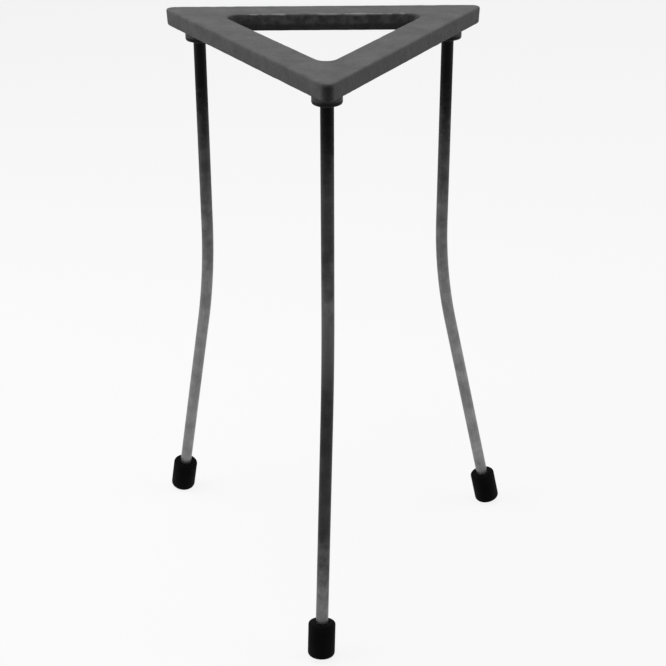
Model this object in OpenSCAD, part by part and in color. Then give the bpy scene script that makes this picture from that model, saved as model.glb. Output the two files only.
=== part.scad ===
// Laboratory tripod stand: a cast triangular top on three bent rod legs with push-on feet.
// Millimetres, +Z up. The origin is on the bench under the middle of the triangle, and the
// front corner of the triangle points along -Y.

/* [Overall] */
// Height of the top face above the bench
stand_height = 225; // [190:5:300]
// Side of the triangle, between its corners before they are rounded
side = 127; // [105:1:180]

/* [Casting] */
// Thickness of the rails
top_thickness = 6.6; // [4.5:0.1:10]
// Width of the rails on the top face
rail_width = 13.8; // [12:0.1:18]
// How far the walls of a rail lean in from the top face to the underside
draft = 0.2; // [0:0.1:0.6]
// Corner radius of the outer outline
outer_corner_radius = 3; // [2:0.5:6]
// Corner radius of the opening
inner_corner_radius = 4; // [2:0.5:8]
// Radius along the outer edges of the rails
outer_edge_radius = 0.8; // [0.4:0.1:1.6]
// Radius along the edges of the opening
inner_edge_radius = 0.6; // [0.4:0.1:1.6]

/* [Leg bosses] */
// Distance of a leg's axis from the corner of the triangle, before it is rounded
leg_inset = 17.5; // [14:0.1:22]
// Metal around the leg in the boss
boss_wall = 3.1; // [1.5:0.1:4]
// Height of the boss below the rails
boss_height = 4.6; // [2:0.2:8]
// Radius around the lower rim of the boss
boss_edge_radius = 0.5; // [0.3:0.1:1.2]
// Metal around the leg in the short neck under the boss
neck_wall = 0.5; // [0.3:0.1:1]
// Height of the neck
neck_height = 0.9; // [0.4:0.1:2]
// Metal left between the tapped hole and the top face
hole_roof = 1.6; // [1:0.1:3]

/* [Legs] */
// Diameter of the rod
rod_diameter = 4.8; // [4:0.1:7]
// Straight length of a leg below the rails, down to the bend
straight_length = 81; // [50:1:110]
// Angle of the bend
bend_angle = 12.5; // [6:0.1:18]
// Radius of the bend, at the rod's axis
bend_radius = 210; // [60:5:260]
// Turn of each leg's bend from straight outwards, clockwise from above: front, right, left
leg_twist = [8, 22, 16]; // [0:1:30]
// Play between the rod and the tapped hole, on the radius
thread_play = 0.05; // [0.02:0.01:0.1]
// Gap between the end of the rod and the end of the tapped hole
end_gap = 0.3; // [0.1:0.1:0.8]

/* [Feet] */
// Wall of the push-on foot around the rod
foot_wall = 2.8; // [1.5:0.1:4]
// Length of the foot
foot_length = 14; // [10:0.5:22]
// Thickness of the foot under the rod
foot_floor = 3.2; // [2:0.1:5]
// Radius around the bottom of the foot
foot_bottom_radius = 1.8; // [0.8:0.1:2.6]
// Radius around the mouth of the foot
foot_mouth_radius = 0.9; // [0.4:0.1:1.4]
// Play between the rod and the foot's bore, on the radius
foot_play = 0.05; // [0.02:0.01:0.1]

/* [Hidden] */
$fn = 96;

// Directions of the three corners from the middle: front, right, left
corner_angles = [-90, 30, 150];
FRONT = 0;
RIGHT = 1;
LEFT = 2;
CORNERS = [FRONT, RIGHT, LEFT];

// Length by which a cutting tool runs past the face that it cuts through
overrun = 1;

// Surfaces that would only touch along a line cross by this much instead, and pieces that
// meet end to end lap each other, so that they join cleanly in one solid
join_step = 0.003;
core_lap = 0.8;
bend_lap = 0.5;
// The rod below the bend is this much slimmer on the radius, so that its end lies inside it
bend_step = 0.02;

// Radius through the triangle's corners, and the height of the rails' underside
corner_reach = side / sqrt(3);
underside = stand_height - top_thickness;

// The opening's outline, before its corners are rounded
opening_reach = corner_reach - 2 * rail_width;

// Bosses and tapped holes
leg_reach = corner_reach - leg_inset;
boss_radius = rod_diameter / 2 + boss_wall;
boss_bottom = underside - boss_height;
neck_radius = rod_diameter / 2 + neck_wall;
hole_radius = rod_diameter / 2 + thread_play;
hole_end = stand_height - hole_roof;

// The leg's centre line, in the plane of its bend: x outwards, z up
rod_top = hole_end - end_gap;
bend_top = underside - straight_length;
bend_end_x = bend_radius * (1 - cos(bend_angle));
bend_end_z = bend_top - bend_radius * sin(bend_angle);

// The foot leans with the leg, so its lowest point is on its rounded rim
foot_radius = rod_diameter / 2 + foot_play + foot_wall;
foot_flat_radius = foot_radius - foot_bottom_radius;
foot_end_z = foot_flat_radius * sin(bend_angle) + foot_bottom_radius * (1 - cos(bend_angle));
foot_end_x = bend_end_x + (bend_end_z - foot_end_z) * tan(bend_angle);
lower_length = (bend_end_z - foot_end_z) / cos(bend_angle) - foot_floor;

// A convex triangle with round corners, swept from two wall profiles: the first along the
// sides, the second around the corners. A profile's x runs outwards from the lines that
// join the corners' centres, and its y runs up. A core fills the middle from low to high.
module swept_triangle(centre_reach, low, high) {
    centre_distance = sqrt(3) * centre_reach;
    core_reach = centre_reach + core_lap;
    for (angle = corner_angles)
        rotate(angle)
            translate([centre_reach, 0, 0]) {
                rotate(60)
                    translate([0, centre_distance, 0])
                        rotate([90, 0, 0])
                            linear_extrude(centre_distance)
                                children(0);
                rotate_extrude()
                    children(1);
            }
    translate([0, 0, low])
        linear_extrude(high - low)
            polygon([for (angle = corner_angles) core_reach * [cos(angle), sin(angle)]]);
}

// Wall profile of the rails' outside: it leans in towards the underside, with round edges.
// It runs past both faces by the given amount.
module outer_wall(corner_radius, past) {
    radius = outer_edge_radius;
    lean = atan(draft / top_thickness);
    low = -past;
    high = top_thickness + past;
    low_x = corner_radius - draft - radius * (1 - sin(lean)) / cos(lean);
    high_x = corner_radius - radius * (1 + sin(lean)) / cos(lean);
    low_centre = [low_x, low + radius];
    high_centre = [high_x, high - radius];
    touch = (radius - join_step) * [cos(lean), -sin(lean)];
    polygon([
        [0, low], [low_x, low], low_centre + touch,
        high_centre + touch, [high_x, high], [0, high],
    ]);
    translate(low_centre)
        circle(r = radius);
    translate(high_centre)
        circle(r = radius);
}

// Wall profile of the opening's cutter: wider at the underside, flared at both edges. The
// flares run past both faces by the given amount.
module opening_wall(corner_radius, past) {
    radius = inner_edge_radius;
    lean = atan(draft / top_thickness);
    low = past - overrun;
    high = top_thickness + overrun - past;
    low_x = corner_radius + draft + radius * (1 - sin(lean)) / cos(lean);
    high_x = corner_radius + radius * (1 + sin(lean)) / cos(lean);
    low_centre = [low_x, radius - past];
    high_centre = [high_x, top_thickness + past - radius];
    touch = (radius - join_step) * [cos(lean), sin(lean)];
    difference() {
        polygon([
            [0, low], [low_x, low], [low_x, 0], low_centre - touch,
            high_centre - touch, [high_x, top_thickness], [high_x, high], [0, high],
        ]);
        translate(low_centre)
            circle(r = radius);
        translate(high_centre)
            circle(r = radius);
    }
}

// The full triangle under the top face, standing on z = 0
module triangle_plate() {
    intersection() {
        swept_triangle(corner_reach - 2 * outer_corner_radius, -overrun, top_thickness + overrun) {
            outer_wall(outer_corner_radius, join_step);
            outer_wall(outer_corner_radius + join_step, 2 * join_step);
        }
        translate([-side, -side, 0])
            cube([2 * side, 2 * side, top_thickness]);
    }
}

// Cutter for the open middle of the triangle
module opening_cutter() {
    cut = 2 * overrun;
    swept_triangle(opening_reach - 2 * inner_corner_radius, -cut, top_thickness + cut) {
        opening_wall(inner_corner_radius, 2 * join_step);
        opening_wall(inner_corner_radius + join_step, join_step);
    }
}

// The triangle of rails, standing on z = 0
module rails() {
    difference() {
        triangle_plate();
        opening_cutter();
    }
}

// Places its children on a leg's axis, with x along the outward direction of its bend
module at_leg(corner) {
    rotate(corner_angles[corner])
        translate([leg_reach, 0, 0])
            rotate(-leg_twist[corner])
                children();
}

// Round boss with a rounded rim and a short neck, reaching up into the rail
module boss() {
    rim_x = boss_radius - boss_edge_radius;
    rim_z = boss_bottom + boss_edge_radius;
    rotate_extrude() {
        polygon([
            [0, boss_bottom - neck_height], [neck_radius, boss_bottom - neck_height],
            [neck_radius, boss_bottom], [rim_x, boss_bottom], [boss_radius, rim_z],
            [boss_radius, underside + top_thickness / 2], [0, underside + top_thickness / 2],
        ]);
        translate([rim_x, rim_z])
            circle(r = boss_edge_radius);
    }
}

// Blind tapped hole for a leg, open at the neck
module leg_hole() {
    hole_mouth = boss_bottom - neck_height - overrun;
    translate([0, 0, hole_mouth])
        cylinder(r = hole_radius, h = hole_end - hole_mouth);
}

// The triangular top: rails, bosses and necks in one casting
module top_frame() {
    color("dimgray")
        difference() {
            union() {
                translate([0, 0, underside])
                    rails();
                for (corner = CORNERS)
                    at_leg(corner)
                        boss();
            }
            for (corner = CORNERS)
                at_leg(corner)
                    leg_hole();
        }
}

// Rod: straight, one long bend outwards, straight again
module leg(corner) {
    color("slategray")
        at_leg(corner) {
            translate([0, 0, bend_top])
                cylinder(d = rod_diameter, h = rod_top - bend_top);
            translate([bend_radius, 0, bend_top])
                rotate([90, 0, 0])
                    rotate(180)
                        rotate_extrude(angle = bend_angle)
                            translate([bend_radius, 0])
                                circle(d = rod_diameter);
            translate([bend_end_x, 0, bend_end_z])
                rotate([0, 180 - bend_angle, 0])
                    translate([0, 0, -bend_lap])
                        cylinder(r = rod_diameter / 2 - bend_step, h = lower_length + bend_lap);
        }
}

// Half section of the foot, standing on its closed end
module foot_section() {
    bore = rod_diameter / 2 + foot_play;
    mouth_x = foot_radius - foot_mouth_radius;
    mouth_z = foot_length - foot_mouth_radius;
    polygon([
        [0, 0], [foot_flat_radius, 0], [foot_radius, foot_bottom_radius],
        [foot_radius, mouth_z], [mouth_x, foot_length], [bore, foot_length],
        [bore, foot_floor], [0, foot_floor],
    ]);
    intersection() {
        translate([foot_flat_radius, foot_bottom_radius])
            circle(r = foot_bottom_radius);
        square([foot_radius, foot_bottom_radius]);
    }
    intersection() {
        translate([mouth_x, mouth_z])
            circle(r = foot_mouth_radius);
        translate([mouth_x, mouth_z])
            square(foot_mouth_radius);
    }
}

// Push-on foot over the end of a leg
module foot(corner) {
    color("black")
        at_leg(corner)
            translate([foot_end_x, 0, foot_end_z])
                rotate([0, -bend_angle, 0])
                    rotate_extrude()
                        foot_section();
}

top_frame();
leg(FRONT);  // leg_front
leg(RIGHT);  // leg_right
leg(LEFT);  // leg_left
foot(FRONT);  // foot_front
foot(RIGHT);  // foot_right
foot(LEFT);  // foot_left
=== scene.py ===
"""Laboratory tripod stand: a painted cast-iron triangle on three bent rod legs with rubber caps.

Every length in a class's fields is in millimetres; meshes are in metres. The stand rests on
z = 0, its triangle is centred on the Z axis, and one corner of it points along -Y.
"""

import sys
import logging
import math
from dataclasses import dataclass, field
from enum import Enum
from functools import partial
from typing import Any, Callable, Iterable, Sequence

import bmesh
import bpy
import numpy as np
from mathutils import Matrix, Vector


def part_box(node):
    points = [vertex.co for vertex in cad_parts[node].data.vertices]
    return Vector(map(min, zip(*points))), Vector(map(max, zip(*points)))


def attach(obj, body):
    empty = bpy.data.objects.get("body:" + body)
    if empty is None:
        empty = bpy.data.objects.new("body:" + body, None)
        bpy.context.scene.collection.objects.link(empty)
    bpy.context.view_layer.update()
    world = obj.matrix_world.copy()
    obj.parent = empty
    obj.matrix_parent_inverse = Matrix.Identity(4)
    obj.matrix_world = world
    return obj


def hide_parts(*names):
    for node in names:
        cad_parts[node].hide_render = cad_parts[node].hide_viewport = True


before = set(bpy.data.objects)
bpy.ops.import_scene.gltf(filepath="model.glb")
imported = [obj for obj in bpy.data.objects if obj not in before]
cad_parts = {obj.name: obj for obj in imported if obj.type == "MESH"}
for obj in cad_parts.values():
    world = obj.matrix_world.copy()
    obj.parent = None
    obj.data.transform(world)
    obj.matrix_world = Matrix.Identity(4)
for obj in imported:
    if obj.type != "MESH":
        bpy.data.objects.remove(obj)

log = logging.getLogger("tripod_stand")

Colour = tuple[float, float, float, float]
Limits = tuple[float, float]
Source = bpy.types.Node | bpy.types.NodeSocket
Adder = Callable[..., bpy.types.Node]
Stops = Sequence[tuple[float, Colour]]

# A noise node's values seldom leave this band
NOISE_LOW = 0.3
NOISE_HIGH = 0.7
# Two places closer than this, in metres, count as one
NEAR = 0.00002
# A face whose normal's z is past this looks straight up or down
FLAT = 0.9


def mm(length: float) -> float:
    """Turns millimetres into metres."""
    return length * 0.001


def linear(code: str) -> Colour:
    """Turns an sRGB hex colour into linear light.

    Args:
        code: the colour as "#rrggbb".

    Returns:
        Red, green, blue and a full alpha.
    """
    channels = [int(code[i:i + 2], 16) / 255 for i in (1, 3, 5)]
    light = [c / 12.92 if c <= 0.04045 else ((c + 0.055) / 1.055) ** 2.4 for c in channels]
    return (*light, 1.0)


def add_node(
    tree: bpy.types.NodeTree,
    kind: str,
    settings: dict[str, Any] | None = None,
    sockets: dict[str | int, Any] | None = None,
    stops: Stops = (),
) -> bpy.types.Node:
    """Adds a node with its settings and its links.

    Args:
        tree: the node tree that it goes in.
        kind: the node's type after "ShaderNode", such as "TexNoise".
        settings: the node's own properties, by name.
        sockets: what goes into each input: a number, a colour, an output, or a node, which
            stands for its first output.
        stops: place and colour of each stop, where the node is a colour ramp.

    Returns:
        The new node.
    """
    node = tree.nodes.new("ShaderNode" + kind)
    for name, value in (settings or {}).items():
        setattr(node, name, value)
    for key, value in (sockets or {}).items():
        source = value.outputs[0] if isinstance(value, bpy.types.Node) else value
        if isinstance(source, bpy.types.NodeSocket):
            tree.links.new(source, node.inputs[key])
        else:
            node.inputs[key].default_value = source
    for index, (place, colour) in enumerate(stops):
        elements = node.color_ramp.elements
        stop = elements[index] if index < len(elements) else elements.new(place)
        stop.position = place
        stop.color = colour
    return node


def grey(level: float) -> Colour:
    """Gives a neutral colour, which in a ramp carries a plain number."""
    return (level, level, level, 1.0)


def cleared(owner: bpy.types.ID) -> Adder:
    """Turns on a material's or a world's nodes, and takes out those that it comes with.

    Args:
        owner: the material or world.

    Returns:
        What adds a node to it.
    """
    owner.use_nodes = True
    owner.node_tree.nodes.clear()
    return partial(add_node, owner.node_tree)


def spread_noise(noise: Source, limits: Limits) -> dict[str, Any]:
    """Spreads a noise between two limits.

    Args:
        noise: the noise.
        limits: the least and the most that it is to give.

    Returns:
        The inputs of a Map Range node, by name.
    """
    return {
        "Value": noise, "From Min": NOISE_LOW, "From Max": NOISE_HIGH,
        "To Min": limits[0], "To Max": limits[1],
    }


# ---- Finishes ----------------------------------------------------------------


@dataclass(frozen=True)
class Grain:
    """A noise pattern: how wide its patches are in millimetres, and how its finer octaves add up."""

    width: float
    detail: float
    roughness: float

    def inputs(self, place: Source) -> dict[str, Any]:
        """Gives the inputs of a Noise node that draws this grain at a place."""
        scale = 1 / mm(self.width)
        return {"Vector": place, "Scale": scale, "Detail": self.detail, "Roughness": self.roughness}


@dataclass(frozen=True)
class Finish:
    """What every finish shares: a name, and a sheen on one Principled shader."""

    name: str
    sheen: float

    def surface(self, add: Adder) -> dict[str, Any]:
        """Draws the finish's patterns.

        Args:
            add: what adds a node to the material.

        Returns:
            The shader's inputs, by name.
        """
        raise NotImplementedError

    def material(self) -> bpy.types.Material:
        """Builds the finish.

        Returns:
            The material.
        """
        material = bpy.data.materials.new(self.name)
        add = cleared(material)
        shader = add("BsdfPrincipled", sockets={"Specular IOR Level": self.sheen, **self.surface(add)})
        add("OutputMaterial", sockets={"Surface": shader})
        return material


@dataclass(frozen=True)
class StovedPaintOnCastIron(Finish):
    """Dark grey stoving paint over sand-cast grey iron.

    The paint is satin and follows the casting's skin, so the eye sees a soft sheen broken by
    the grain of the sand and by shallow lumps. The dressed faces are evenly mottled, and the
    walls of the opening keep the raw skin, with patches of painted highlight along their rim
    where the rounded rim catches the light. The corners, the walls' low edge and the rims of
    the bosses carry a near-black painted shade.
    """

    name: str = "stoved_paint_on_cast_iron"
    sheen: float = 0.12
    dressed: str = "#575757"
    dressed_light: str = "#757575"
    raw: str = "#565656"
    raw_light: str = "#7c7c7c"
    soot: str = "#3c3c3c"
    soot_share: float = 0.4
    # A near-black painted shade for the corners, the walls' low edge and the bosses' rims
    primer: str = "#0c0c0c"
    primer_share: Limits = (0.75, 1.0)
    # A light grey painted highlight on the opening's rim, where the rounded rim catches the light
    chip: str = "#a0a0a0"
    chip_share: float = 0.85
    roughness: Limits = (0.56, 0.70)
    mottle: Grain = Grain(9.0, 5.0, 0.62)
    lumps: Grain = Grain(3.2, 2.0, 0.5)
    highlight_spots: Grain = Grain(6.0, 2.0, 0.55)
    # Moulding sand is about 0.3 mm; it is drawn at three times that, or it wouldn't show
    sand: Grain = Grain(0.9, 3.0, 0.6)
    lump_height: float = 0.12
    lump_strength: float = 0.5
    sand_height: float = 0.07
    sand_strength: float = 0.6

    def surface(self, add: Adder) -> dict[str, Any]:
        """Draws the paint, with its painted highlights and painted shade, by the casting's attributes.

        Args:
            add: what adds a node to the material.

        Returns:
            The shader's inputs, by name.
        """
        place = add("TexCoord").outputs["Object"]
        raw, rim, worn = (
            add("Attribute", {"attribute_name": name}).outputs["Fac"]
            for name in ("raw", "rim", "worn")
        )
        mottle, lumps, highlight_spots, sand = (
            add("TexNoise", sockets=grain.inputs(place))
            for grain in (self.mottle, self.lumps, self.highlight_spots, self.sand)
        )
        dressed_paint = add("ValToRGB", sockets={"Fac": mottle}, stops=[
            (0.30, linear(self.dressed)), (0.70, linear(self.dressed_light)),
        ])
        raw_paint = add("ValToRGB", sockets={"Fac": lumps}, stops=[
            (0.36, linear(self.raw)), (0.66, linear(self.raw_light)),
        ])
        colour = add("Mix", {"data_type": "RGBA"}, {0: raw, 6: dressed_paint, 7: raw_paint}).outputs[2]
        # Soot and dirt settle in the pits between the grains
        pits = add("ValToRGB", sockets={"Fac": sand}, stops=[
            (0.33, grey(self.soot_share)), (0.45, grey(0.0)),
        ])
        # Painted shade, broken into patches by the lumps' noise
        patchy = add("MapRange", sockets=spread_noise(lumps, self.primer_share))
        shaded = add("Math", {"operation": "MULTIPLY"}, {0: worn, 1: patchy})
        # The rim gets painted highlights where the noise stands highest
        spotted_rim = add("Math", {"operation": "MULTIPLY"}, {0: highlight_spots, 1: rim})
        highlighted = add("ValToRGB", sockets={"Fac": spotted_rim}, stops=[
            (0.42, grey(0.0)), (0.58, grey(self.chip_share)),
        ])
        for share, shade in ((pits, self.soot), (shaded, self.primer), (highlighted, self.chip)):
            colour = add("Mix", {"data_type": "RGBA"}, {
                0: share, 6: colour, 7: linear(shade),
            }).outputs[2]

        gloss = add("MapRange", sockets=spread_noise(mottle, self.roughness))
        skin = add("Bump", sockets={
            "Height": sand, "Distance": mm(self.sand_height), "Strength": self.sand_strength,
        })
        relief = add("Bump", sockets={
            "Height": lumps, "Distance": mm(self.lump_height), "Strength": self.lump_strength,
            "Normal": skin,
        })
        return {"Base Color": colour, "Roughness": gloss, "Normal": relief}


@dataclass(frozen=True)
class SteelRodWithPaintedShade(Finish):
    """Drawn mild-steel rod, left bare, with painted shade and painted reflections in its colour.

    Under the casting the rod is painted a dull black, as painted shade for the casting's shadow
    and painted dark reflections; it lightens to grey through the bend, and near the cap the bare
    metal shows, with the fine lines that the die left along it.
    """

    name: str = "drawn_steel_painted_shade"
    sheen: float = 0.06
    # How far down the rod, in millimetres: the colour there, darker towards the top as painted
    # shade and painted dark reflections, and how much of the metal shows
    coat_with_painted_shade: tuple[tuple[float, str, float], ...] = (
        (28.0, "#191919", 0.0),
        (50.0, "#4e4e4e", 0.3),
        (68.0, "#525252", 0.55),
        (88.0, "#636363", 0.75),
        (115.0, "#747474", 0.85),
        (145.0, "#7c7c7c", 0.9),
        (205.0, "#7e7e7e", 0.9),
    )
    length: float = 212.0
    wander: float = 16.0
    flakes: Grain = Grain(5.0, 5.0, 0.6)
    flake_height: float = 0.03
    flake_shade: Limits = (0.78, 1.22)
    # Die lines are a few hundredths of a millimetre apart; they are drawn at 0.25 mm to show
    lines: Grain = Grain(0.25, 2.0, 0.5)
    line_squeeze: float = 0.03
    line_height: float = 0.01
    line_shade: Limits = (0.86, 1.1)
    relief_strength: float = 0.4
    scale_roughness: float = 0.45
    metal_roughness: float = 0.34

    def surface(self, add: Adder) -> dict[str, Any]:
        """Draws the rod's colour with its painted shade, and the metal, by the rod's attribute
        "unbent".

        Args:
            add: what adds a node to the material.

        Returns:
            The shader's inputs, by name.
        """
        unbent = add("Attribute", {"attribute_name": "unbent"}).outputs["Vector"]
        run = add("SeparateXYZ", sockets={"Vector": unbent}).outputs["Z"]
        along = add("Mapping", sockets={"Vector": unbent, "Scale": (1.0, 1.0, self.line_squeeze)})
        flakes, lines = (
            add("TexNoise", sockets=grain.inputs(place))
            for grain, place in ((self.flakes, unbent), (self.lines, along))
        )
        # Each colour's edge, painted shade included, wanders up and down the rod with the noise
        uneven = add("Math", {"operation": "MULTIPLY_ADD"}, {0: flakes, 1: mm(2 * self.wander), 2: run})
        share = add("MapRange", sockets={
            "Value": uneven, "From Min": mm(self.wander), "From Max": mm(self.wander + self.length),
        })
        colour = add("ValToRGB", sockets={"Fac": share}, stops=[
            (down / self.length, linear(shade)) for down, shade, _ in self.coat_with_painted_shade
        ])
        metal = add("ValToRGB", sockets={"Fac": share}, stops=[
            (down / self.length, grey(bareness)) for down, _, bareness in self.coat_with_painted_shade
        ])
        streak, blotch = (
            add("MapRange", sockets=spread_noise(noise, limits))
            for noise, limits in ((lines, self.line_shade), (flakes, self.flake_shade))
        )
        shading = add("Math", {"operation": "MULTIPLY"}, {0: streak, 1: blotch})
        drawn = add("VectorMath", {"operation": "SCALE"}, {0: colour, "Scale": shading})
        gloss = add("MapRange", sockets={
            "Value": metal, "To Min": self.scale_roughness, "To Max": self.metal_roughness,
        })
        skin = add("Bump", sockets={
            "Height": flakes, "Distance": mm(self.flake_height), "Strength": self.relief_strength,
        })
        relief = add("Bump", sockets={
            "Height": lines, "Distance": mm(self.line_height), "Strength": self.relief_strength,
            "Normal": skin,
        })
        return {"Base Color": drawn, "Metallic": metal, "Roughness": gloss, "Normal": relief}


@dataclass(frozen=True)
class MouldedRubber(Finish):
    """Black moulded rubber, filled with carbon black.

    Deep black with almost no sheen; the mould's fine matt texture and a trace of dust keep it
    from looking flat.
    """

    name: str = "moulded_black_rubber"
    sheen: float = 0.05
    body: str = "#030303"
    dust: str = "#0c0c0c"
    roughness: Limits = (0.64, 0.82)
    smears: Grain = Grain(5.0, 4.0, 0.6)
    # The mould's spark-eroded texture is about 0.1 mm; it is drawn at four times that to show
    texture: Grain = Grain(0.4, 2.0, 0.5)
    texture_height: float = 0.03
    texture_strength: float = 0.5

    def surface(self, add: Adder) -> dict[str, Any]:
        """Draws the rubber, by the cap's own Object coordinates.

        Args:
            add: what adds a node to the material.

        Returns:
            The shader's inputs, by name.
        """
        place = add("TexCoord").outputs["Object"]
        smears, texture = (
            add("TexNoise", sockets=grain.inputs(place))
            for grain in (self.smears, self.texture)
        )
        colour = add("ValToRGB", sockets={"Fac": smears}, stops=[
            (0.45, linear(self.body)), (0.75, linear(self.dust)),
        ])
        gloss = add("MapRange", sockets=spread_noise(smears, self.roughness))
        relief = add("Bump", sockets={
            "Height": texture, "Distance": mm(self.texture_height), "Strength": self.texture_strength,
        })
        return {"Base Color": colour, "Roughness": gloss, "Normal": relief}


# ---- Hand modelling ----------------------------------------------------------


class Part(Enum):
    """What a selection in edit mode picks."""

    VERTEX = "VERT"
    EDGE = "EDGE"
    FACE = "FACE"


class Workpiece:
    """One mesh on the bench: it starts as a primitive and is shaped with edit-mode tools."""

    def __init__(self, name: str, add_primitive: Callable[..., Any], **settings: Any) -> None:
        """Adds the primitive, at its size and place.

        Args:
            name: the piece's name.
            add_primitive: the operator that adds it.
            settings: the operator's settings.
        """
        bpy.ops.object.select_all(action="DESELECT")
        add_primitive(**settings)
        self.object = bpy.context.active_object
        self.object.name = name
        self.object.data.name = name
        self.settle()

    def settle(self) -> None:
        """Applies the object's place, turn and size to its mesh."""
        self.only_this()
        bpy.ops.object.transform_apply(location=True, rotation=True, scale=True)

    def only_this(self) -> None:
        """Makes this the one selected and active object."""
        bpy.ops.object.select_all(action="DESELECT")
        self.object.select_set(True)
        bpy.context.view_layer.objects.active = self.object

    def open(self) -> None:
        """Enters edit mode with nothing selected."""
        self.only_this()
        bpy.ops.object.mode_set(mode="EDIT")
        bpy.ops.mesh.select_all(action="DESELECT")

    def close(self) -> None:
        """Turns all faces outwards and leaves edit mode."""
        bpy.ops.mesh.select_all(action="SELECT")
        bpy.ops.mesh.normals_make_consistent(inside=False)
        bpy.ops.mesh.select_all(action="DESELECT")
        bpy.ops.object.mode_set(mode="OBJECT")

    def pick(self, part: Part, test: Callable[[Any], bool]) -> None:
        """Selects the vertices, edges or faces that pass a test, and nothing else.

        Args:
            part: what to pick.
            test: says whether one of them is picked.
        """
        bpy.ops.mesh.select_all(action="DESELECT")
        bpy.ops.mesh.select_mode(type=part.value)
        mesh = bmesh.from_edit_mesh(self.object.data)
        members = {Part.VERTEX: mesh.verts, Part.EDGE: mesh.edges, Part.FACE: mesh.faces}[part]
        picked = [member for member in members if test(member)]
        if not picked:
            raise ValueError(f"{self.object.name}: nothing was picked")
        for member in picked:
            member.select_set(True)
        bmesh.update_edit_mesh(self.object.data, loop_triangles=False, destructive=False)

    def pick_ends(self, upper: bool) -> None:
        """Selects the flat faces that look up, or those that look down."""
        way = 1 if upper else -1
        self.pick(Part.FACE, lambda f: f.normal.z * way > FLAT)

    def extrude(self, move: Sequence[float]) -> None:
        """Extrudes the selected faces by a move in metres."""
        bpy.ops.mesh.extrude_region_move(TRANSFORM_OT_translate={"value": tuple(move)})

    def inset(self, width: float) -> None:
        """Insets the selected faces by a width in metres."""
        bpy.ops.mesh.inset(thickness=width, depth=0.0, use_boundary=True)

    def scale(self, share: float, centre: Sequence[float], along_z: float = 1.0) -> None:
        """Scales the selection about a point, by one share across X and Y and another along Z."""
        bpy.ops.transform.resize(value=(share, share, along_z), center_override=tuple(centre))

    def round_over(self, radius: float, segments: int) -> None:
        """Bevels the selected edges.

        Args:
            radius: how round they become, in metres.
            segments: how many flats make up the curve.
        """
        bpy.ops.mesh.bevel(
            offset=radius, offset_type="OFFSET", segments=segments, profile=0.5, affect="EDGES",
            clamp_overlap=True,
        )

    def round_ring(self, height: float, ring: float, radius: float, segments: int) -> None:
        """Bevels a ring of edges about the Z axis, with its sizes in metres.

        Args:
            height: the ring's height.
            ring: the ring's own radius.
            radius: how round it becomes.
            segments: how many flats make up the curve.
        """
        self.pick(Part.EDGE, lambda e: all(
            abs(v.co.z - height) < NEAR and abs(v.co.xy.length - ring) < NEAR for v in e.verts
        ))
        self.round_over(radius, segments)

    def modify(self, kind: str, **settings: Any) -> None:
        """Adds a modifier with its settings and applies it.

        Args:
            kind: the modifier's type, such as "REMESH".
            settings: its properties, by name.
        """
        self.only_this()
        modifier = self.object.modifiers.new(kind.lower(), kind)
        for name, value in settings.items():
            setattr(modifier, name, value)
        bpy.ops.object.modifier_apply(modifier=modifier.name)

    def copy_to(self, name: str, place: Matrix) -> "Workpiece":
        """Copies the piece, with a mesh of its own, to another place.

        Args:
            name: the copy's name.
            place: where its own axes go.

        Returns:
            The copy, with its place in its mesh.
        """
        twin = object.__new__(Workpiece)
        twin.object = self.object.copy()
        twin.object.data = self.object.data.copy()
        twin.object.name = name
        twin.object.data.name = name
        bpy.context.scene.collection.objects.link(twin.object)
        twin.object.matrix_world = place
        twin.settle()
        return twin

    def take_in(self, others: Iterable["Workpiece"]) -> None:
        """Joins other workpieces into this one.

        Args:
            others: the workpieces.
        """
        self.only_this()
        for other in others:
            other.object.select_set(True)
        bpy.ops.object.join()

    def drop(self) -> None:
        """Takes the piece off the bench."""
        bpy.data.objects.remove(self.object)

    def points(self) -> np.ndarray:
        """Reads the mesh's vertices.

        Returns:
            A row of x, y and z in metres for each.
        """
        flat = np.zeros(len(self.object.data.vertices) * 3, np.float32)
        self.object.data.vertices.foreach_get("co", flat)
        return flat.reshape(-1, 3).astype(float)

    def note(self, name: str, values: np.ndarray) -> None:
        """Writes one number or vector for each vertex as an attribute.

        Args:
            name: the attribute's name.
            values: one row for each vertex.
        """
        kind, member = ("FLOAT", "value") if values.ndim == 1 else ("FLOAT_VECTOR", "vector")
        attribute = self.object.data.attributes.new(name, kind, "POINT")
        attribute.data.foreach_set(member, values.astype(np.float32).ravel())

    def shade(self, angle: float) -> None:
        """Smooths the shading of all edges flatter than an angle in degrees."""
        self.only_this()
        bpy.ops.object.shade_smooth_by_angle(angle=math.radians(angle))

    def dress(self, material: bpy.types.Material) -> None:
        """Gives the piece its one material."""
        self.object.data.materials.clear()
        self.object.data.materials.append(material)


# ---- The stand ---------------------------------------------------------------


class Corner(Enum):
    """The triangle's corners: direction from its middle, and turn of its leg's bend, in degrees."""

    FRONT = (-90.0, 8.0)
    RIGHT = (30.0, 22.0)
    LEFT = (150.0, 16.0)

    @property
    def label(self) -> str:
        """The corner's name in a piece's name."""
        return self.name.lower()

    def unit(self) -> Vector:
        """The direction from the middle to the corner."""
        angle = math.radians(self.value[0])
        return Vector((math.cos(angle), math.sin(angle), 0.0))


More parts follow.
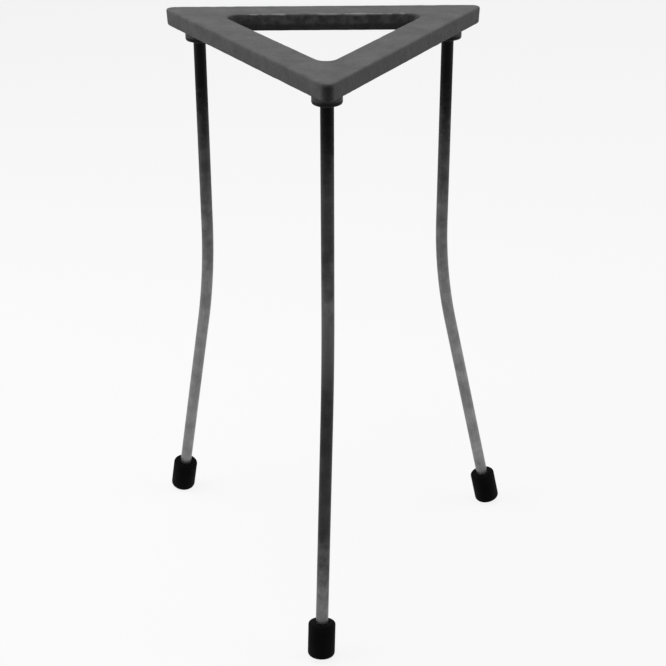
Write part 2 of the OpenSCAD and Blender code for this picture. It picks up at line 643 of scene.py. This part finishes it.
@dataclass(frozen=True)
class Plan:
    """The sizes that the sub-assemblies share."""

    height: float = 225.0
    side: float = 127.0
    thickness: float = 6.6
    leg_inset: float = 17.5
    rod_diameter: float = 4.8
    straight_length: float = 81.0
    bend_angle: float = 12.5
    bend_radius: float = 210.0
    cap_radius: float = 5.235
    cap_rim: float = 1.8
    cap_floor: float = 3.2
    cap_clearance: float = 0.01

    @property
    def corner_reach(self) -> float:
        """Distance of the triangle's sharp corners from its middle."""
        return self.side / math.sqrt(3)

    @property
    def underside(self) -> float:
        """Height of the rails' underside."""
        return self.height - self.thickness

    @property
    def leg_reach(self) -> float:
        """Distance of a leg's axis from the middle."""
        return self.corner_reach - self.leg_inset

    @property
    def bend_top(self) -> float:
        """Height at which the bend starts."""
        return self.underside - self.straight_length

    @property
    def bend_end(self) -> tuple[float, float]:
        """Where the bend ends: outwards and up."""
        angle = math.radians(self.bend_angle)
        return (
            self.bend_radius * (1 - math.cos(angle)),
            self.bend_top - self.bend_radius * math.sin(angle),
        )

    @property
    def cap_end(self) -> float:
        """Height of the middle of a cap's closed end: it leans with the leg, and stands on its rim."""
        angle = math.radians(self.bend_angle)
        flat = self.cap_radius - self.cap_rim
        return flat * math.sin(angle) + self.cap_rim * (1 - math.cos(angle)) + self.cap_clearance

    def at_leg(self, corner: Corner) -> Matrix:
        """Gives the place of a leg's axis, with x along the outward direction of its bend.

        Args:
            corner: the leg's corner.

        Returns:
            The matrix from a leg modelled on the Z axis to its corner.
        """
        turn, twist = corner.value
        return (
            Matrix.Rotation(math.radians(turn), 4, "Z")
            @ Matrix.Translation((mm(self.leg_reach), 0.0, 0.0))
            @ Matrix.Rotation(math.radians(-twist), 4, "Z")
        )

    def set_out(self, work: Workpiece, lean: Matrix | None = None) -> dict[Corner, Workpiece]:
        """Copies a piece to the three legs, and takes the one it is copied from off the bench.

        Args:
            work: the piece, modelled on the Z axis.
            lean: its place about that axis, if it doesn't stand upright on it.

        Returns:
            The copy at each corner.
        """
        own = Matrix() if lean is None else lean
        name = work.object.name
        copies = {c: work.copy_to(f"{name}_{c.label}", self.at_leg(c) @ own) for c in Corner}
        work.drop()
        return copies


@dataclass(frozen=True)
class Fade:
    """A share that goes from 0 at its start to 1 a width further on; a negative width goes back."""

    start: float
    width: float

    def at(self, values: np.ndarray) -> np.ndarray:
        """Gives the share at each value."""
        return np.clip((values - self.start) / self.width, 0.0, 1.0)


@dataclass(frozen=True)
class Marks:
    """Where the casting is raw, and where its painted highlights and shade go, in millimetres.

    A depth is counted down from the top face, a rise is counted up from a boss's rim, and a
    facing is the cosine of the angle to the line that leads out to the corner.
    """

    # The walls of the opening, counted outwards from their plane; their low edge gets painted shade
    wall: Fade = Fade(1.0, -0.5)
    raw_depth: Fade = Fade(0.3, 0.7)
    low_edge_depth: Fade = Fade(3.4, 1.0)
    low_edge_share: float = 0.65
    # The rim of the opening: the middle of its strip of painted highlight, how far that spreads,
    # and how many of the corner's own radii before the corner it ends
    rim_out: float = 0.5
    rim_out_spread: float = 1.5
    rim_depth: float = 0.25
    rim_depth_spread: float = 1.0
    rim_corner: float = 1.4
    rim_corner_fade: float = 1.5
    back_rail: float = -1.0
    other_rails_share: float = 0.72
    # The outer corners' painted shade, counted from their round skin
    corner_facing: Fade = Fade(0.72, 0.2)
    corner_skin: Fade = Fade(-0.7, 0.4)
    corner_depth: Fade = Fade(0.8, 0.8)
    corner_share: float = 0.5
    # The painted shade on the bosses' rims, and the darkened mouths of the leg holes
    boss_skin: Fade = Fade(-1.2, 0.4)
    boss_rise: Fade = Fade(1.9, -0.4)
    boss_lowest: float = -0.3
    unshaded_facing: Fade = Fade(0.88, 0.08)
    unshaded_share: float = 0.7
    mouth_reach: float = 0.5
    mouth_rise: float = 0.1
    mouth_share: float = 0.9


@dataclass
class Casting:
    """The triangular top: three rails and three leg bosses in one sand casting."""

    plan: Plan
    finish: StovedPaintOnCastIron
    marks: Marks = Marks()
    rail_width: float = 13.8
    draft: float = 0.2
    outer_corner_radius: float = 3.0
    inner_corner_radius: float = 4.0
    outer_edge_radius: float = 0.8
    inner_edge_radius: float = 0.6
    edge_segments: int = 5
    boss_radius: float = 5.5
    boss_height: float = 4.6
    boss_edge_radius: float = 0.8
    boss_cove: float = 0.5
    cove_steps: int = 4
    boss_sides: int = 48
    neck_radius: float = 2.9
    neck_height: float = 0.9
    neck_edge_radius: float = 0.2
    hole_radius: float = 2.45
    hole_roof: float = 1.6
    drill_clearance: float = 1.0
    drill_point_inset: float = 0.7
    drill_point_height: float = 0.4
    corner_points: int = 12
    skin_cell: float = 0.42
    lump: float = 5.0
    lump_depth: float = 0.16

    @property
    def inner_reach(self) -> float:
        """Distance of the opening's sharp corners from the middle."""
        return self.plan.corner_reach - 2 * self.rail_width

    def side_distance(self, point: Any) -> float:
        """Gives how far a point lies from the middle, towards the nearest side's line, in metres."""
        return max(-point.dot(corner.unit()) for corner in Corner)

    def spread(self, work: Workpiece, radius: float, reach: float) -> None:
        """Spreads a small circle about the Z axis into a triangle with round corners.

        Args:
            work: the workpiece, in edit mode, with the circle's vertices near the Z axis.
            radius: the circle's radius.
            reach: how far each third of it moves out.
        """
        third = math.cos(math.radians(60))
        for corner in Corner:
            outwards = corner.unit()
            work.pick(Part.VERTEX, lambda v: (
                v.co.xy.length < mm(radius) + NEAR
                and v.co.xy.normalized().dot(outwards.xy) > third
            ))
            bpy.ops.transform.translate(value=mm(reach) * outwards)

    def rails(self) -> Workpiece:
        """Models the ring of three rails.

        Returns:
            The ring, with its draft and its round edges.
        """
        top = mm(self.plan.height)
        low = mm(self.plan.underside)
        half_step = math.radians(180 / (3 * self.corner_points))
        outline = {
            "vertices": 3 * self.corner_points, "location": (0.0, 0.0, top),
            "rotation": (0.0, 0.0, half_step),
        }
        work = Workpiece(
            "casting", bpy.ops.mesh.primitive_circle_add,
            radius=mm(self.outer_corner_radius), **outline,
        )
        work.open()
        self.spread(
            work, self.outer_corner_radius, self.plan.corner_reach - 2 * self.outer_corner_radius
        )
        bpy.ops.mesh.select_all(action="DESELECT")
        bpy.ops.mesh.primitive_circle_add(radius=mm(self.inner_corner_radius), **outline)
        self.spread(work, self.inner_corner_radius, self.inner_reach - 2 * self.inner_corner_radius)
        bpy.ops.mesh.select_all(action="SELECT")
        bpy.ops.mesh.bridge_edge_loops()
        bpy.ops.mesh.select_all(action="SELECT")
        work.extrude((0.0, 0.0, low - top))

        middle = mm((self.plan.corner_reach + self.inner_reach) / 4)
        sides = (
            (True, 1 - self.draft / (self.plan.corner_reach / 2), self.outer_edge_radius),
            (False, 1 + self.draft / (self.inner_reach / 2), self.inner_edge_radius),
        )
        for outer, share, _ in sides:
            work.pick(Part.VERTEX, lambda v: (
                abs(v.co.z - low) < NEAR and (self.side_distance(v.co) > middle) == outer
            ))
            work.scale(share, (0.0, 0.0, low))
        for height in (top, low):
            for outer, _, radius in sides:
                work.pick(Part.EDGE, lambda e: all(
                    abs(v.co.z - height) < NEAR and (self.side_distance(v.co) > middle) == outer
                    for v in e.verts
                ))
                work.round_over(mm(radius), self.edge_segments)
        work.close()
        return work

    def boss(self) -> Workpiece:
        """Models one leg boss on the Z axis, reaching up into the rail.

        Returns:
            The boss, with its fillet under the rail, its round rim and its short neck.
        """
        rim = mm(self.plan.underside - self.boss_height)
        head = mm(self.plan.underside - self.boss_cove)
        mouth = rim - mm(self.neck_height)
        work = Workpiece(
            "boss", bpy.ops.mesh.primitive_cylinder_add, vertices=self.boss_sides,
            radius=mm(self.boss_radius), depth=head - rim, location=(0.0, 0.0, (head + rim) / 2),
        )
        work.open()
        # The moulder's fillet, where the boss spreads into the underside
        work.pick_ends(upper=True)
        radius, height = self.boss_radius, 0.0
        for step in range(1, self.cove_steps + 1):
            angle = math.radians(90 * step / self.cove_steps)
            wider = self.boss_radius + self.boss_cove * (1 - math.cos(angle))
            higher = self.boss_cove * math.sin(angle)
            work.extrude((0.0, 0.0, mm(higher - height)))
            work.scale(wider / radius, (0.0, 0.0, head))
            radius, height = wider, higher
        work.extrude((0.0, 0.0, mm(self.plan.thickness / 2)))
        # The fillet's last ring looks down too, so the rim is picked by its height
        work.pick(Part.FACE, lambda f: f.calc_center_median().z < rim + NEAR)
        work.inset(mm(self.boss_radius - self.neck_radius))
        work.extrude((0.0, 0.0, mouth - rim))
        work.round_ring(rim, mm(self.boss_radius), mm(self.boss_edge_radius), self.edge_segments)
        work.round_ring(mouth, mm(self.neck_radius), mm(self.neck_edge_radius), segments=2)
        work.close()
        return work

    def drill(self) -> Workpiece:
        """Models the cutter for one leg hole, on the Z axis.

        Returns:
            The cutter, with the cone that a drill's point leaves at the end of its hole.
        """
        mouth = self.plan.underside - self.boss_height - self.neck_height
        low = mm(mouth - self.drill_clearance)
        high = mm(self.plan.height - self.hole_roof)
        work = Workpiece(
            "drill", bpy.ops.mesh.primitive_cylinder_add, vertices=self.boss_sides,
            radius=mm(self.hole_radius), depth=high - low, location=(0.0, 0.0, (high + low) / 2),
        )
        work.open()
        work.pick_ends(upper=True)
        work.inset(mm(self.hole_radius * self.drill_point_inset))
        bpy.ops.transform.translate(value=(0.0, 0.0, mm(self.drill_point_height)))
        work.close()
        return work

    def highlighted_rim(self, points: np.ndarray, out: np.ndarray, depth: np.ndarray) -> np.ndarray:
        """Finds the rim of the opening, where it gets painted highlights.

        Args:
            points: the casting's vertices.
            out: how far outwards of the opening's walls each lies.
            depth: how far below the top face each lies.

        Returns:
            Each vertex's share.
        """
        over = (out - self.marks.rim_out) / self.marks.rim_out_spread
        under = (depth - self.marks.rim_depth) / self.marks.rim_depth_spread
        # The back rail gets the full painted highlight, the other rails a smaller share
        past_back = -points @ np.array(Corner.FRONT.unit()) - self.inner_reach / 2
        share = np.where(past_back > self.marks.back_rail, 1.0, self.marks.other_rails_share)
        arc = self.inner_reach - self.marks.rim_corner * self.inner_corner_radius
        straight = Fade(arc, -self.marks.rim_corner_fade).at(np.linalg.norm(points[:, :2], axis=1))
        return np.exp(-over ** 2 - under ** 2) * share * straight

    def from_axis(
        self, points: np.ndarray, corner: Corner, reach: float
    ) -> tuple[np.ndarray, np.ndarray]:
        """Measures vertices from an upright axis on the line out to a corner.

        Args:
            points: the casting's vertices.
            corner: the corner.
            reach: the axis's distance from the middle.

        Returns:
            Each vertex's distance from the axis, and its facing.
        """
        outwards = np.array(corner.unit().xy)
        away = points[:, :2] - reach * outwards
        distance = np.linalg.norm(away, axis=1)
        return distance, away @ outwards / np.maximum(distance, 1e-6)

    def shaded_corner(self, points: np.ndarray, depth: np.ndarray, corner: Corner) -> np.ndarray:
        """Finds where one outer corner gets painted shade.

        Args:
            points: the casting's vertices.
            depth: how far below the top face each lies.
            corner: the corner.

        Returns:
            Each vertex's share.
        """
        turns = self.plan.corner_reach - 2 * self.outer_corner_radius
        distance, facing = self.from_axis(points, corner, turns)
        skin = self.marks.corner_skin.at(distance - self.outer_corner_radius)
        ahead = self.marks.corner_facing.at(facing)
        return self.marks.corner_share * ahead * skin * self.marks.corner_depth.at(depth)

    def shaded_boss(self, points: np.ndarray, depth: np.ndarray, corner: Corner) -> np.ndarray:
        """Finds where one boss gets painted shade: round its rim, and at the mouth of its hole.

        Args:
            points: the casting's vertices.
            depth: how far below the top face each lies.
            corner: the boss's corner.

        Returns:
            Each vertex's share.
        """
        distance, facing = self.from_axis(points, corner, self.plan.leg_reach)
        rise = self.plan.thickness + self.boss_height - depth
        skin = self.marks.boss_skin.at(distance - self.boss_radius)
        band = skin * self.marks.boss_rise.at(rise) * (rise > self.marks.boss_lowest)
        # The painted shade is lighter on the strip that faces out to the corner
        unshaded = 1.0 - self.marks.unshaded_share * self.marks.unshaded_facing.at(facing)
        in_mouth = (distance < self.neck_radius + self.marks.mouth_reach) & (rise < self.marks.mouth_rise)
        return np.maximum(band * unshaded, self.marks.mouth_share * in_mouth)

    def mark(self, work: Workpiece) -> None:
        """Notes where the casting keeps its raw skin, and where its painted highlights and shade go.

        Args:
            work: the finished casting.
        """
        points = work.points() * 1000
        depth = self.plan.height - points[:, 2]
        directions = np.array([corner.unit() for corner in Corner])
        out = (-points @ directions.T).max(axis=1) - self.inner_reach / 2
        wall = self.marks.wall.at(out)
        work.note("raw", wall * self.marks.raw_depth.at(depth))
        work.note("rim", self.highlighted_rim(points, out, depth))
        # The walls' low edge gets painted shade, where the wall turns under out of the light
        low_edge = self.marks.low_edge_share * wall * self.marks.low_edge_depth.at(depth)
        corners = [self.shaded_corner(points, depth, corner) for corner in Corner]
        bosses = [self.shaded_boss(points, depth, corner) for corner in Corner]
        work.note("worn", np.max([low_edge, *corners, *bosses], axis=0))

    def build(self) -> Workpiece:
        """Models, roughens and dresses the casting.

        Returns:
            The finished casting.
        """
        work = self.rails()
        work.take_in(self.plan.set_out(self.boss()).values())
        work.modify("REMESH", mode="VOXEL", voxel_size=mm(self.skin_cell), adaptivity=0.0)
        work.modify("SMOOTH", factor=0.5, iterations=2)
        lumps = bpy.data.textures.new("sand_lumps", "CLOUDS")
        lumps.noise_scale = mm(self.lump)
        lumps.noise_depth = 2
        work.modify(
            "DISPLACE", texture=lumps, texture_coords="LOCAL", strength=mm(self.lump_depth),
            mid_level=1.0,
        )
        for cutter in self.plan.set_out(self.drill()).values():
            work.modify("BOOLEAN", object=cutter.object, operation="DIFFERENCE", solver="EXACT")
            cutter.drop()
        self.mark(work)
        work.shade(angle=40.0)
        work.dress(self.finish.material())
        return work


@dataclass
class Rod:
    """A leg: straight down from its tapped hole, one long bend outwards, and straight again."""

    plan: Plan
    finishes: dict[Corner, SteelRodWithPaintedShade]
    top: float = 223.1
    chamfer: float = 0.5
    around: int = 40
    straight_steps: int = 16
    bend_steps: int = 24

    @property
    def lower_length(self) -> float:
        """Length below the bend: down to the floor of the cap."""
        _, end_z = self.plan.bend_end
        slant = math.cos(math.radians(self.plan.bend_angle))
        return (end_z - self.plan.cap_end) / slant - self.plan.cap_floor

    def model(self) -> Workpiece:
        """Models the rod on the Z axis, bending towards +X.

        Returns:
            The rod, closed at both ends.
        """
        radius = mm(self.plan.rod_diameter / 2)
        chamfer = mm(self.chamfer)
        top = mm(self.top)
        bend_top = mm(self.plan.bend_top)
        lower = mm(self.lower_length)
        angle = math.radians(self.plan.bend_angle)
        tip = radius - chamfer
        work = Workpiece(
            "rod", bpy.ops.mesh.primitive_circle_add, vertices=self.around, radius=tip,
            fill_type="NGON", location=(0.0, 0.0, top),
        )
        work.open()
        bpy.ops.mesh.select_mode(type="FACE")
        bpy.ops.mesh.select_all(action="SELECT")
        work.extrude((0.0, 0.0, -chamfer))
        work.scale(radius / tip, (0.0, 0.0, top - chamfer), radius / tip)
        for _ in range(self.straight_steps):
            work.extrude((0.0, 0.0, (bend_top - (top - chamfer)) / self.straight_steps))
        bpy.ops.mesh.spin(
            steps=self.bend_steps, angle=angle, axis=(0.0, 1.0, 0.0),
            center=(mm(self.plan.bend_radius), 0.0, bend_top),
        )
        along = Vector((math.sin(angle), 0.0, -math.cos(angle)))
        end_x, end_z = self.plan.bend_end
        for _ in range(self.straight_steps):
            work.extrude(along * (lower - chamfer) / self.straight_steps)
        work.extrude(along * chamfer)
        end = Vector((mm(end_x), 0.0, mm(end_z))) + along * lower
        work.scale(tip / radius, end, tip / radius)
        work.close()
        return work

    def unbend(self, points: np.ndarray) -> np.ndarray:
        """Finds where each point of the rod lay before it was bent.

        Args:
            points: the vertices of a rod on the Z axis.

        Returns:
            For each, the place across the rod and the distance from its top end, in metres.
        """
        radius = mm(self.plan.bend_radius)
        angle = math.radians(self.plan.bend_angle)
        drop = mm(self.plan.bend_top) - points[:, 2]
        turned = np.arctan2(drop, radius - points[:, 0])
        straight = mm(self.top - self.plan.bend_top)
        end_x, end_z = self.plan.bend_end
        out, down = points[:, 0] - mm(end_x), mm(end_z) - points[:, 2]
        past = out * math.sin(angle) + down * math.cos(angle)
        upper, lower = turned <= 0, turned >= angle
        run = np.where(upper, mm(self.top) - points[:, 2], straight + radius * turned)
        run = np.where(lower, straight + radius * angle + past, run)
        across = np.where(upper, points[:, 0], radius - np.hypot(radius - points[:, 0], drop))
        across = np.where(lower, out * math.cos(angle) - down * math.sin(angle), across)
        return np.stack([across, points[:, 1], run], axis=1)

    def build(self) -> dict[Corner, Workpiece]:
        """Models one rod, and copies it to the three corners.

        Returns:
            The rod of each corner.
        """
        work = self.model()
        work.note("unbent", self.unbend(work.points()))
        work.shade(angle=35.0)
        rods = self.plan.set_out(work)
        for corner, rod in rods.items():
            rod.dress(self.finishes[corner].material())
        return rods


@dataclass
class Cap:
    """The rubber cap pushed over the lower end of a leg."""

    plan: Plan
    finish: MouldedRubber
    length: float = 14.0
    sides: int = 64
    bore_radius: float = 2.45
    bore_edge_radius: float = 0.25
    mouth_radius: float = 0.9
    ring_margin: float = 0.5
    ring_width: float = 0.7
    ring_depth: float = 0.5

    def model(self) -> Workpiece:
        """Models the cap standing on its closed end, on the Z axis.

        Returns:
            The cap, with its bore, its round rims and a grip ring pressed into its bottom.
        """
        side, rim = self.plan.cap_radius, self.plan.cap_rim
        work = Workpiece(
            "cap", bpy.ops.mesh.primitive_cylinder_add, vertices=self.sides, radius=mm(side),
            depth=mm(self.length), location=(0.0, 0.0, mm(self.length / 2)),
        )
        work.open()
        work.pick_ends(upper=True)
        work.inset(mm(side - self.bore_radius))
        work.extrude((0.0, 0.0, mm(self.plan.cap_floor - self.length)))
        work.pick_ends(upper=False)
        work.inset(mm(rim + self.ring_margin))
        work.inset(mm(self.ring_width))
        work.pick(Part.FACE, lambda f: (
            f.normal.z < -FLAT and len(f.verts) == 4
            and f.calc_center_median().xy.length < mm(side - rim - self.ring_margin)
        ))
        work.extrude((0.0, 0.0, mm(self.ring_depth)))
        work.round_ring(0.0, mm(side), mm(rim), segments=8)
        work.round_ring(mm(self.length), mm(side), mm(self.mouth_radius), segments=6)
        work.round_ring(mm(self.length), mm(self.bore_radius), mm(self.bore_edge_radius), segments=3)
        work.close()
        return work

    def build(self) -> dict[Corner, Workpiece]:
        """Models one cap, and copies it to the three legs.

        Returns:
            The cap of each corner.
        """
        work = self.model()
        work.shade(angle=35.0)
        work.dress(self.finish.material())
        angle = math.radians(self.plan.bend_angle)
        end_x, end_z = self.plan.bend_end
        low = self.plan.cap_end
        out = end_x + (end_z - low) * math.tan(angle)
        lean = Matrix.Translation((mm(out), 0.0, mm(low))) @ Matrix.Rotation(-angle, 4, "Y")
        return self.plan.set_out(work, lean)


# ---- The studio --------------------------------------------------------------


@dataclass(frozen=True)
class View:
    """The camera: its place in millimetres, and its turns in radians."""

    place: tuple[float, float, float] = (-7.03, -547.59, 367.00)
    yaw: float = 0.0180
    pitch: float = 0.4536
    roll: float = 0.0026
    lens: float = 81.08

    def build(self) -> None:
        """Sets the camera up."""
        data = bpy.data.cameras.new("camera")
        data.sensor_width = 36.0
        data.lens = self.lens
        data.clip_start = 0.01
        data.clip_end = 50.0
        camera = bpy.data.objects.new("camera", data)
        bpy.context.scene.collection.objects.link(camera)
        turn = (
            Matrix.Rotation(-self.yaw, 4, "Z")
            @ Matrix.Rotation(math.pi / 2 - self.pitch, 4, "X")
            @ Matrix.Rotation(-self.roll, 4, "Z")
        )
        camera.matrix_world = Matrix.Translation([mm(v) for v in self.place]) @ turn
        bpy.context.scene.camera = camera


@dataclass(frozen=True)
class Lamp:
    """A round soft box.

    Seen from the stand's top it hangs at a turn and a height, at a distance in millimetres, and
    its spread is how wide it looks; the angles are in degrees. Its share is the part of a
    written colour that it brings out face on.
    """

    name: str
    turn: float
    height: float
    distance: float
    share: float
    spread: float

    def build(self, aim: Vector) -> None:
        """Hangs the lamp.

        Args:
            aim: the place that it is turned to, in metres.
        """
        half, far = math.radians(self.spread / 2), mm(self.distance)
        data = bpy.data.lights.new(self.name, "AREA")
        data.shape = "DISK"
        data.size = 2 * far * math.tan(half)
        data.energy = self.share * (math.pi * far / math.cos(half)) ** 2
        lamp = bpy.data.objects.new(self.name, data)
        bpy.context.scene.collection.objects.link(lamp)
        turn, height = math.radians(self.turn), math.radians(self.height)
        towards = Vector((
            math.sin(turn) * math.cos(height), -math.cos(turn) * math.cos(height), math.sin(height),
        ))
        lamp.location = aim + far * towards
        lamp.rotation_euler = towards.to_track_quat("Z", "Y").to_euler()


@dataclass
class Studio:
    """A plain pale room: a wide floor, a sky of the same shade, and soft lamps."""

    backdrop: str = "#f9f9f9"
    floor_size: float = 12000.0
    floor_glow: float = 0.91
    floor_matt: float = 0.18
    floor_bounce: float = 0.04
    sky: float = 0.09
    aim: float = 200.0
    lamps: list[Lamp] = field(default_factory=lambda: [
        Lamp("left_bank", turn=-92.0, height=10.0, distance=750.0, share=0.35, spread=60.0),
        Lamp("right_bank", turn=92.0, height=10.0, distance=1200.0, share=0.30, spread=60.0),
        Lamp("ceiling", turn=-90.0, height=80.0, distance=600.0, share=0.47, spread=50.0),
    ])

    def seen(self, add: Adder) -> bpy.types.Node:
        """Adds the test of whether the camera, metal or glass looks at this.

        Args:
            add: what adds a node to the material or world.

        Returns:
            A node that gives 1 where it does, and 0 for light that only falls on things.
        """
        path = add("LightPath")
        shiny = add("Math", {"operation": "ADD"}, {
            0: path.outputs["Is Glossy Ray"], 1: path.outputs["Is Transmission Ray"],
        })
        return add("Math", {"operation": "ADD", "use_clamp": True}, {
            0: path.outputs["Is Camera Ray"], 1: shiny,
        })

    def floor(self) -> None:
        """Lays the floor: pale to look at, and dimmer for the light that it throws back up."""
        work = Workpiece(
            "floor", bpy.ops.mesh.primitive_plane_add, size=mm(self.floor_size),
            location=(0.0, 0.0, 0.0),
        )
        material = bpy.data.materials.new("pale_floor")
        add = cleared(material)
        shade = linear(self.backdrop)
        glow = add("Emission", sockets={"Color": shade, "Strength": self.floor_glow})
        matt_shade = (*(c * self.floor_matt for c in shade[:3]), 1.0)
        matt = add("BsdfDiffuse", sockets={"Color": matt_shade})
        pale = add("AddShader", sockets={0: glow, 1: matt})
        dim = add("BsdfDiffuse", sockets={"Color": grey(self.floor_bounce)})
        mix = add("MixShader", sockets={0: self.seen(add), 1: dim, 2: pale})
        add("OutputMaterial", sockets={"Surface": mix})
        work.dress(material)

    def light(self) -> None:
        """Sets the sky and hangs the lamps."""
        world = bpy.data.worlds.new("studio")
        bpy.context.scene.world = world
        add = cleared(world)
        lit = add("Background", sockets={"Color": grey(1.0), "Strength": self.sky})
        pale = add("Background", sockets={"Color": linear(self.backdrop), "Strength": 1.0})
        mix = add("MixShader", sockets={0: self.seen(add), 1: lit, 2: pale})
        add("OutputWorld", sockets={"Surface": mix})
        for lamp in self.lamps:
            lamp.build(Vector((0.0, 0.0, mm(self.aim))))


@dataclass
class TripodStand:
    """The whole stand: casting, rods and caps, each in the place of its CAD node."""

    plan: Plan = field(default_factory=Plan)

    def place(self, work: Workpiece, node: str, slot: str) -> None:
        """Puts a piece on the stand in place of a CAD node.

        Args:
            work: the finished piece.
            node: the CAD node that it stands for.
            slot: the record's material slot; not used.
        """
        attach(work.object, "root")
        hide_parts(node)
        low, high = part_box(node)
        points = work.points()
        log.info(
            "%s for %s: %d faces, %.2f mm inside its box at the tightest", work.object.name, node,
            len(work.object.data.polygons),
            1000 * min((points.min(0) - np.array(low)).min(), (np.array(high) - points.max(0)).min()),
        )

    def rod_finishes(self) -> dict[Corner, SteelRodWithPaintedShade]:
        """Chooses each rod's finish.

        Returns:
            The finish at each corner. The front leg's colour is painted darker through and below
            the bend, as painted dark reflections.
        """
        common = SteelRodWithPaintedShade()
        # The front rod's colour carries more painted shade: painted dark reflections through and below
        # the bend
        front_painted_shade = SteelRodWithPaintedShade(name="drawn_steel_painted_shade_front", coat_with_painted_shade=(
            (14.0, "#050505", 0.0),
            (34.0, "#444444", 0.3),
            (62.0, "#3d3d3d", 0.65),
            (88.0, "#5c5c5c", 0.7),
            (109.0, "#4c4c4c", 0.7),
            (122.0, "#323232", 0.7),
            (172.0, "#3a3a3a", 0.7),
            (190.0, "#555555", 0.8),
            (204.0, "#707070", 0.9),
        ))
        return {Corner.FRONT: front_painted_shade, Corner.RIGHT: common, Corner.LEFT: common}

    def build(self) -> None:
        """Builds every piece in order."""
        self.place(Casting(self.plan, StovedPaintOnCastIron()).build(), "top_frame", "casting")
        for corner, rod in Rod(self.plan, self.rod_finishes()).build().items():
            self.place(rod, f"leg_{corner.label}", "rod")
        for corner, cap in Cap(self.plan, MouldedRubber()).build().items():
            self.place(cap, f"foot_{corner.label}", "foot")


def main() -> None:
    """Builds the stand, its studio and its camera."""
    logging.basicConfig(level=logging.INFO, format="%(message)s", stream=sys.stdout)
    bpy.context.scene.view_settings.view_transform = "Standard"
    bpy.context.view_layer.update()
    TripodStand().build()
    studio = Studio()
    studio.floor()
    studio.light()
    View().build()


if __name__ == "__main__":
    main()
